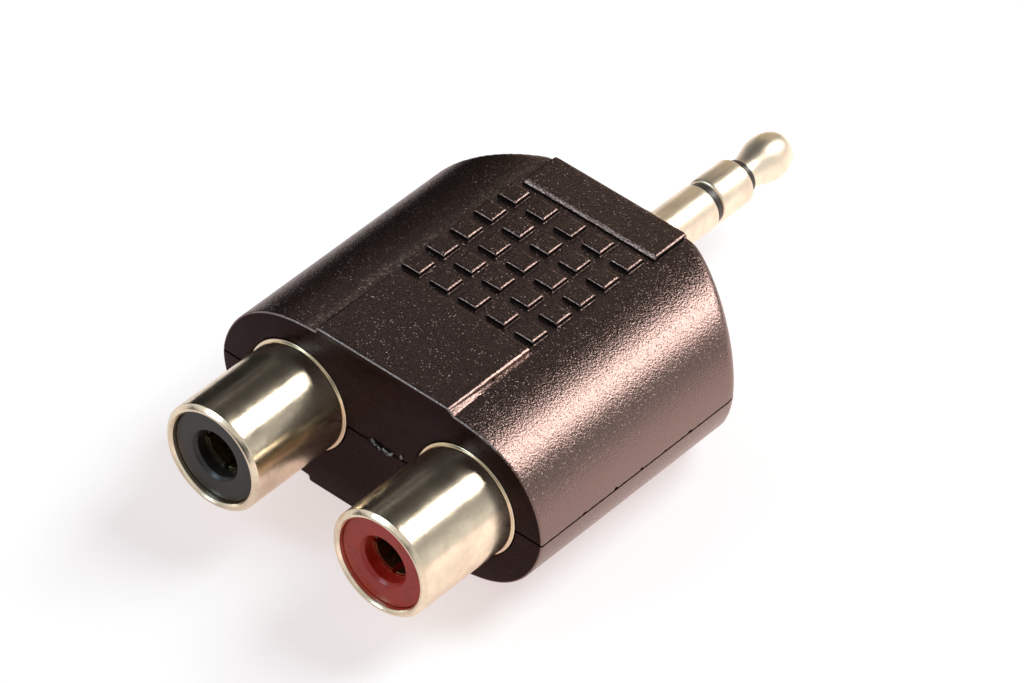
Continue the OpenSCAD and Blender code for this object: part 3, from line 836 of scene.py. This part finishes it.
def shell_block(name, side, seed, inset=0.0, detailed=True):
    """One half of the housing as a closed block from the parting plane outwards; side is 1 or -1."""
    (side_x, side_z), crown, lengths, front, back = outside_lines() if detailed else cavity_lines()
    xs = np.concatenate([side_x, crown[::-1], -side_x[::-1]])
    zs = np.concatenate([side_z, section_z(crown[::-1]), side_z[::-1]])
    ys = np.array([y for y, _ in front] + list(lengths) + [y for y, _ in back])
    insets = np.array([d for _, d in front] + [0.0] * len(lengths) + [d for _, d in back])
    x, y = np.meshgrid(xs, ys)
    z = np.meshgrid(zs, ys)[0]
    if detailed:
        raised = (TOP_RISE - z) * feature_height(x, y, seed)
        z = z + np.where(np.abs(x) < STRIP_HALF, raised, 0)
    x, z = pull_to_nose(x, y, z, NOSE_BLEND if detailed else CAVITY_BLEND)
    x, z = move_in(x, z, insets[:, None] + inset)
    z[:, 0] = z[:, -1] = 0 if detailed else -CUT_PAST
    if not detailed:
        z = np.maximum(z, -CUT_PAST)
    rows, cols = x.shape
    verts = [(x[j, i], y[j, i], MID_Z + side * z[j, i]) for j in range(rows) for i in range(cols)]
    kinds = outside_kinds(x, y, z) if detailed else np.zeros((rows - 1, cols - 1), int)
    indices = list(map(int, kinds.ravel())) + [SMOOTH_PAINTED_SHADE_SLOT, TEXTURED_SLOT, SMOOTH_PAINTED_SHADE_SLOT]
    obj = make_object(name, verts, grid_faces(rows, cols), HOUSING_MATERIALS, indices)
    face_outwards(obj)
    return obj


def seat_cutter(x, radius, mouth_y, inward, depth, chamfer=0.12):
    """A round cutting tool for a seat in a face, with a small chamfer at its mouth."""
    profile = [
        (0, mouth_y - inward * CUT_PAST),
        (radius + chamfer, mouth_y - inward * CUT_PAST),
        (radius + chamfer, mouth_y),
        (radius, mouth_y + inward * chamfer),
        (radius, mouth_y + inward * depth),
        (0, mouth_y + inward * depth),
    ]
    return lathe("seat_cutter", profile, x, SMOOTH_PAINTED_SHADE, steps=160)


def gap_cutter():
    """A thin flat ring round the housing that cuts the parting gap."""
    ys = np.linspace(FACE_Y + GROOVE_DEPTH, NOSE_Y - GROOVE_DEPTH, 420)
    x_in = np.minimum(HALF_W, nose_radius(ys)) - GROOVE_DEPTH
    x_out = x_in + CUT_PAST + GROOVE_DEPTH
    y_out = ys.copy()
    y_out[0], y_out[-1] = FACE_Y - CUT_PAST, NOSE_Y + CUT_PAST
    verts = []
    for side in (1, -1):
        chips = np.zeros(len(ys))
        for at_side, at_y, half, tall in NICKS:
            if at_side == side:
                chips += tall * np.exp(-(((ys - at_y) / half) ** 4))
        for i in range(len(ys))[::side]:
            top = GROOVE_HALF + chips[i] + 0.03 * noise.noise(Vector((side, ys[i] * 3.3, 0.5)))
            for x, y in ((x_in[i], ys[i]), (x_out[i], y_out[i])):
                verts += [(side * x, y, MID_Z + top), (side * x, y, MID_Z - GROOVE_HALF)]
    faces = []
    count = 2 * len(ys)
    for i in range(count):
        a, b = 4 * i, 4 * ((i + 1) % count)
        for p, q in ((0, 2), (2, 3), (3, 1), (1, 0)):
            faces.append([a + p, b + p, b + q, a + q])
    obj = make_object("gap_cutter", verts, faces, [SMOOTH_PAINTED_SHADE])
    face_outwards(obj)
    return obj


def housing_half(name, node, side, seed):
    """A half shell: the block less its cavity, the seats of the metal parts and the parting gap."""
    obj = shell_block(name, side, seed)
    cut(obj, shell_block("cavity", side, seed, WALL, detailed=False))
    for x in (-JACK_X, JACK_X):
        cut(obj, seat_cutter(x, BARREL_BODY_R + FIT_GAP, FACE_Y, 1, FACE_WALL + SEAT_PAST))
    cut(obj, seat_cutter(0, COLLAR_R + FIT_GAP, NOSE_Y, -1, NOSE_WALL + SEAT_PAST))
    cut(obj, gap_cutter())
    shade(obj)
    dress(obj, node)


housing_half("housing_upper_shell", "housing_top", 1, 1.3)
housing_half("housing_lower_shell", "housing_bottom", -1, 8.6)


# Torn flash on the parting line, between the sockets

# x and height of a bit, its half length, half height and turn
BITS = (
    (-0.62, 0.17, 0.2, 0.1, 0.5),
    (-0.34, 0.06, 0.15, 0.07, -0.3),
    (0.0, -0.06, 0.12, 0.05, 0.6),
    (0.42, 0.0, 0.16, 0.06, 0.5),
    (0.72, -0.05, 0.2, 0.09, 0.25),
    (1.0, 0.05, 0.13, 0.06, -0.4),
    (1.9, 0.25, 0.1, 0.06, 0.9),
)
# x and height of a dark spot of painted shade round them, its half length and half height
SHADE_SPOTS = (
    (-0.72, 0.04, 0.3, 0.2),
    (-0.2, 0.02, 0.42, 0.22),
    (0.42, -0.02, 0.42, 0.19),
    (1.02, 0.0, 0.36, 0.15),
)
BIT_THICK = 0.12
SHADE_SPOT_THICK = 0.035
# How far the middle of each lies in front of the socket face
FLASH_OUT = 0.012


def torn_flash():
    """Rough crumbs of flash and the dark spots of painted shade that they stand in."""
    bm = bmesh.new()
    shapes = [(x, z, long, tall, 0.0, SHADE_SPOT_THICK, 1) for x, z, long, tall in SHADE_SPOTS]
    shapes += [(x, z, long, tall, turn, BIT_THICK, 0) for x, z, long, tall, turn in BITS]
    for k, (x, z, long, tall, turn, thick, slot) in enumerate(shapes):
        made = bmesh.ops.create_icosphere(bm, subdivisions=4, radius=1.0)["verts"]
        spin = Matrix.Rotation(turn, 3, "Y")
        for v in made:
            rough = noise.noise(v.co * 1.8 + Vector((3.1 * k, 0, 0))) * 1.3
            rough += noise.noise(v.co * 4.5 + Vector((0, 7.7 * k, 0))) * 0.7
            scaled = v.co * max(0.2, 1 + rough)
            v.co = spin @ Vector((scaled.x * long, scaled.y * thick, scaled.z * tall))
            v.co = (v.co + Vector((x, FACE_Y - FLASH_OUT, MID_Z + z))) * MM
        for face in {f for v in made for f in v.link_faces}:
            face.material_index = slot
    mesh = bpy.data.meshes.new("parting_flash")
    bm.to_mesh(mesh)
    bm.free()
    mesh.materials.append(FLASH)
    # The dark spots take the painted shade material
    mesh.materials.append(PAINTED_SHADE)
    obj = add_object("parting_flash", mesh)
    shade(obj, 60)
    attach(obj, "root")


torn_flash()


# Sockets


def socket_barrel(side, label):
    """The turned barrel, its flange behind the face wall and the neck for the ground tag."""
    rim = FACE_Y - BARREL_L
    profile = rounded([
        (BARREL_BORE_R, rim + MOUTH_L, 0.05),
        (BARREL_BORE_R + MOUTH_R, rim, 0.06),
        (BARREL_R - BARREL_BEVEL, rim, 0.08),
        (BARREL_R, rim + BARREL_BEVEL, 0.12),
        (BARREL_R, FACE_Y, 0.03),
        (BARREL_BODY_R, FACE_Y, 0.08),
        (BARREL_BODY_R, FACE_Y + FACE_WALL, 0),
        (JACK_FLANGE_R, FACE_Y + FACE_WALL, 0.05),
        (JACK_FLANGE_R, FACE_Y + JACK_FLANGE_END, 0.05),
        (BARREL_BODY_R, FACE_Y + JACK_FLANGE_END, 0),
        (BARREL_BODY_R, FACE_Y + BARREL_NECK_START, 0),
        (BARREL_NECK_R, FACE_Y + BARREL_NECK_START, 0),
        (BARREL_NECK_R, FACE_Y + BARREL_END, 0),
        (BARREL_BORE_R, FACE_Y + BARREL_END, 0),
    ])
    obj = lathe(label + "_socket_barrel", profile, side * JACK_X, NICKEL)
    dress(obj, label + "_jack_barrel")


def socket_insulator(side, label, material):
    """The moulded core of a socket, with a lead-in for the pin and a collar behind the barrel."""
    front = FACE_Y - BARREL_L + INSULATOR_RECESS
    back = FACE_Y + INSULATOR_END
    profile = rounded([
        (PIN_HOLE_R + LEAD_IN_R, front, 0.08),
        (INSULATOR_R, front, 0.12),
        (INSULATOR_R, FACE_Y + BARREL_END, 0),
        (BARREL_NECK_R, FACE_Y + BARREL_END, 0),
        (BARREL_NECK_R, back, 0.08),
        (CONTACT_HOLE_R, back, 0),
        (CONTACT_HOLE_R, front + INSULATOR_FRONT, 0),
        (PIN_HOLE_R, front + INSULATOR_FRONT, 0),
        (PIN_HOLE_R, front + LEAD_IN_L, 0.1),
    ])
    obj = lathe(label + "_socket_insulator", profile, side * JACK_X, material)
    dress(obj, label + "_jack_insulator")


socket_barrel(-1, "left")
socket_barrel(1, "right")
socket_insulator(-1, "left", SOCKET_BLACK)
socket_insulator(1, "right", SOCKET_RED)


# Plug


def plug_piece(name, node, material, profile):
    """A turned piece of the plug; its profile is measured from the nose face."""
    moved = [(r, NOSE_Y + y, fillet) for r, y, fillet in profile]
    dress(lathe(name, rounded(moved), 0, material), node)


def tip_profile(steps=16):
    """The rod's rivet head, the rod, the tip's neck, its bulge and its rounded end."""
    points = [
        (0, RIVET_START, 0),
        (RIVET_R, RIVET_START, 0.2),
        (RIVET_R, RIVET_END, 0.05),
        (ROD_R, RIVET_END, 0),
        (ROD_R, TIP_START, 0),
        (TIP_NECK_R, TIP_START, 0.05),
    ]
    for i in range(1, steps + 1):
        u = i / steps
        swell = (1 - math.cos(math.pi * u)) / 2
        radius = TIP_NECK_R + (TIP_BULGE_R - TIP_NECK_R) * swell
        points.append((radius, TIP_START + TIP_BULGE_Y * u, 0))
    for i in range(1, steps + 1):
        a = math.pi / 2 * i / steps
        radius = TIP_FLAT_R + (TIP_BULGE_R - TIP_FLAT_R) * math.cos(a)
        y = TIP_START + TIP_BULGE_Y + (TIP_L - TIP_BULGE_Y) * math.sin(a)
        points.append((radius, y, 0))
    return points + [(0, TIP_START + TIP_L, 0)]


plug_piece("plug_sleeve_turned", "plug_sleeve", PLUG_NICKEL, [
    (SLEEVE_BORE_R, SLEEVE_BACK, 0.04),
    (COLLAR_R, SLEEVE_BACK, 0.1),
    (COLLAR_R, PLUG_FLANGE_BACK, 0),
    (PLUG_FLANGE_R, PLUG_FLANGE_BACK, 0.1),
    (PLUG_FLANGE_R, -NOSE_WALL, 0.1),
    (COLLAR_R, -NOSE_WALL, 0),
    (COLLAR_R, COLLAR_L, 0.3),
    (PLUG_R, COLLAR_L, 0.12),
    (PLUG_R, SLEEVE_END, 0.24),
    (SLEEVE_BORE_R, SLEEVE_END, 0.03),
])
plug_piece("plug_ring_turned", "plug_ring", PLUG_NICKEL, [
    (RING_BORE_R, RING_BACK, 0.03),
    (RING_TUBE_R, RING_BACK, 0.03),
    (RING_TUBE_R, RING_START, 0.02),
    (PLUG_R, RING_START, 0.24),
    (PLUG_R, RING_END - RING_NECK_L, 0.7),
    (RING_NECK_R, RING_END, 0.05),
    (RING_BORE_R, RING_END, 0.03),
])
plug_piece("plug_rear_band", "plug_ring_insulator", BAND, [
    (REAR_BORE_R, REAR_BACK, 0.03),
    (REAR_TUBE_R, REAR_BACK, 0.03),
    (REAR_TUBE_R, SLEEVE_END, 0.02),
    (REAR_BAND_R, SLEEVE_END, 0.05),
    (REAR_BAND_R, RING_START, 0.05),
    (REAR_BORE_R, RING_START, 0.02),
])
plug_piece("plug_front_band", "plug_tip_insulator", BAND, [
    (FRONT_BORE_R, FRONT_BACK, 0.03),
    (FRONT_TUBE_R, FRONT_BACK, 0.03),
    (FRONT_TUBE_R, RING_END, 0.02),
    (FRONT_BAND_R, RING_END, 0.05),
    (FRONT_BAND_R, TIP_START, 0.06),
    (FRONT_BORE_R, TIP_START, 0.02),
])
plug_piece("plug_tip_turned", "plug_tip", PLUG_NICKEL, tip_profile())


# Parts that keep the shape of their solids


def paint(node, material):
    """Puts a material on every slot of a CAD node's mesh."""
    mesh = nodes[node].data
    if not mesh.materials:
        mesh.materials.append(material)
    for i in range(len(mesh.materials)):
        mesh.materials[i] = material


for side in ("left", "right"):
    paint(side + "_jack_contact", CONTACT)
    paint(side + "_jack_ground_tag", TINNED)
    paint(side + "_signal_core", COPPER)
    paint(side + "_ground_core", COPPER)
    paint(side + "_ground_insulation", PVC_BLACK)
for layer in ("sleeve", "ring", "tip"):
    paint("plug_" + layer + "_lug", TINNED)
for layer in ("ring", "tip"):
    paint("plug_" + layer + "_washer", LAMINATE)
paint("left_signal_insulation", PVC_WHITE)
paint("right_signal_insulation", PVC_RED)
paint("solder_joints", SOLDER)


# Floor, world, lights and camera

# Half the floor's width, in metres
FLOOR_REACH = 4.0
# The camera's place and focal length, in millimetres
CAMERA_DISTANCE = 534.9
CAMERA_TARGET = (4.33, -4.29, 14.0)
CAMERA_LENS = 281.25


def background_share(tree):
    """1 for rays that show the background: from the camera, mirrored or passed through."""
    path = tree.nodes.new("ShaderNodeLightPath")
    most = math_node(tree, "MAXIMUM", path.outputs["Is Camera Ray"], path.outputs["Is Glossy Ray"])
    return math_node(tree, "MAXIMUM", most, path.outputs["Is Transmission Ray"])


def add_glow(tree, colour, strength):
    """An emission whose strength comes from another node."""
    node = tree.nodes.new("ShaderNodeEmission")
    node.inputs["Color"].default_value = (*colour, 1)
    tree.links.new(strength, node.inputs["Strength"])
    return node.outputs[0]


def add_shaders(tree, a, b):
    node = tree.nodes.new("ShaderNodeAddShader")
    tree.links.new(a, node.inputs[0])
    tree.links.new(b, node.inputs[1])
    return node.outputs[0]


def floor_material():
    """A pale floor that keeps shadows; reflections see it warmer, and brighter on the far side."""
    mat = bpy.data.materials.new("floor")
    mat.use_nodes = True
    tree = mat.node_tree
    tree.nodes.clear()
    out = tree.nodes.new("ShaderNodeOutputMaterial")
    matte = tree.nodes.new("ShaderNodeBsdfDiffuse")
    matte.inputs["Color"].default_value = (0.40, 0.50, 0.52, 1)
    from_camera = tree.nodes.new("ShaderNodeLightPath").outputs["Is Camera Ray"]
    others = math_node(tree, "SUBTRACT", background_share(tree), from_camera)
    where = tree.nodes.new("ShaderNodeTexCoord")
    axes = split_axes(tree, where.outputs["Object"])
    across = plus(tree, axes["X"], times(tree, axes["Y"], 0.9))
    far_side = remap(tree, across, -0.025, 0.03, 0.7, 1.3)
    seen = add_glow(tree, (0.68, 0.59, 0.58), from_camera)
    mirrored = add_glow(tree, (0.76, 0.56, 0.52), times(tree, others, far_side))
    surface = add_shaders(tree, matte.outputs[0], add_shaders(tree, seen, mirrored))
    tree.links.new(surface, out.inputs["Surface"])
    return mat


def make_floor():
    mesh = bpy.data.meshes.new("floor")
    corners = [(FLOOR_REACH * x, FLOOR_REACH * y, 0) for x, y in ((-1, -1), (1, -1), (1, 1), (-1, 1))]
    mesh.from_pydata(corners, [], [(0, 1, 2, 3)])
    mesh.materials.append(floor_material())
    add_object("floor", mesh)


def make_world(ambient):
    """White behind the object; reflections see it dim overhead, as under a studio's ceiling."""
    world = bpy.data.worlds.new("studio")
    bpy.context.scene.world = world
    world.use_nodes = True
    tree = world.node_tree
    tree.nodes.clear()
    out = tree.nodes.new("ShaderNodeOutputWorld")
    mix = tree.nodes.new("ShaderNodeMixShader")
    lit = tree.nodes.new("ShaderNodeBackground")
    lit.inputs["Color"].default_value = (1.0, 0.97, 0.95, 1)
    lit.inputs["Strength"].default_value = ambient
    seen = tree.nodes.new("ShaderNodeBackground")
    path = tree.nodes.new("ShaderNodeLightPath")
    where = tree.nodes.new("ShaderNodeTexCoord")
    axes = split_axes(tree, where.outputs["Generated"])
    height = plus(tree, axes["Z"], times(tree, axes["Y"], 0.55))
    height = plus(tree, height, times(tree, axes["X"], -0.2))
    ceiling = remap(tree, height, 0.3, 0.95, 1.0, 0.05)
    white = math_node(tree, "MAXIMUM", ceiling, path.outputs["Is Camera Ray"])
    tree.links.new(white, seen.inputs["Strength"])
    tree.links.new(background_share(tree), mix.inputs["Fac"])
    tree.links.new(lit.outputs[0], mix.inputs[1])
    tree.links.new(seen.outputs[0], mix.inputs[2])
    tree.links.new(mix.outputs[0], out.inputs["Surface"])


def card(name, corners, colour=(0, 0, 0), glow=0.0):
    """A board beside the object that only reflections see: dark, or a reflector with a glow."""
    mesh = bpy.data.meshes.new(name)
    mesh.from_pydata([tuple(c * MM for c in corner) for corner in corners], [], [(0, 1, 2, 3)])
    mat = bpy.data.materials.new(name)
    mat.use_nodes = True
    shader = mat.node_tree.nodes["Principled BSDF"]
    shader.inputs["Base Color"].default_value = (0.01, 0.009, 0.008, 1)
    shader.inputs["Roughness"].default_value = 0.9
    shader.inputs["Emission Color"].default_value = (*colour, 1)
    shader.inputs["Emission Strength"].default_value = glow
    mesh.materials.append(mat)
    obj = add_object(name, mesh)
    obj.visible_camera = False
    obj.visible_diffuse = False
    obj.visible_shadow = False


def area_lamp(name, direction, distance, size, power, colour, along=(0, 0, 1)):
    """A soft lamp aimed at the middle of the housing, with its height along the last direction."""
    lamp = bpy.data.lights.new(name, "AREA")
    lamp.shape = "RECTANGLE"
    lamp.size, lamp.size_y = size
    lamp.energy = power
    lamp.color = colour
    heading = Vector(direction).normalized()
    across = Vector(along).cross(heading).normalized()
    turn = Matrix((across, heading.cross(across), heading)).transposed()
    centre = Vector((0, 0, MID_Z * MM)) + heading * distance
    add_object(name, lamp).matrix_world = Matrix.Translation(centre) @ turn.to_4x4()


def make_camera(azimuth, elevation, roll):
    """The photograph's camera, with its angles in degrees."""
    azimuth, elevation, roll = (math.radians(a) for a in (azimuth, elevation, roll))
    back = Vector((
        math.sin(azimuth) * math.cos(elevation),
        -math.cos(azimuth) * math.cos(elevation),
        math.sin(elevation),
    ))
    right = (-back).cross(Vector((0, 0, 1))).normalized()
    up = right.cross(-back)
    across = right * math.cos(roll) + up * math.sin(roll)
    upward = -right * math.sin(roll) + up * math.cos(roll)
    turn = Matrix((across, upward, back)).transposed()
    camera = bpy.data.cameras.new("camera")
    camera.sensor_width = 36
    camera.lens = CAMERA_LENS
    camera.clip_start = 0.01
    camera.clip_end = 20
    obj = add_object("camera", camera)
    place = (Vector(CAMERA_TARGET) + back * CAMERA_DISTANCE) * MM
    obj.matrix_world = Matrix.Translation(place) @ turn.to_4x4()
    bpy.context.scene.camera = obj


make_floor()
make_world(0.25)
# Two dark boards, and two warm reflectors for the metal parts
card("card_left", [(-75, -15, 0.5), (-28, 34.8, 0.5), (-28, 34.8, 38), (-75, -15, 38)])
card("card_front", [(-160, -75, 0.5), (40, -75, 0.5), (40, -75, 38), (-160, -75, 38)])
card("card_gold", [(-50, 62, 2), (-12, 62, 2), (-12, 62, 46), (-50, 62, 46)], (1.0, 0.84, 0.62), 0.5)
card("card_plug", [(30, 66, 42), (48, 66, 60), (66, 66, 30), (44, 66, 20)], (1.0, 0.92, 0.84), 1.3)
# Lamps: direction from the housing, distance and size in metres, watts, colour
KEY_ALONG = (-0.18, 0.81, -0.56)
area_lamp("key", (0.299, 0.588, 0.752), 0.6, (0.24, 0.44), 3.05, (1.0, 0.98, 0.96), KEY_ALONG)
area_lamp("fill", (-0.456, -0.669, 0.588), 0.6, (0.2, 0.2), 0.85, (0.6, 0.85, 1.0))
area_lamp("back", (-0.58, 0.588, 0.565), 0.6, (0.1, 0.1), 0.025, (1.0, 0.96, 0.94))
make_camera(37.789, 41.971, 3.907)
bpy.context.scene.view_settings.view_transform = "Standard"
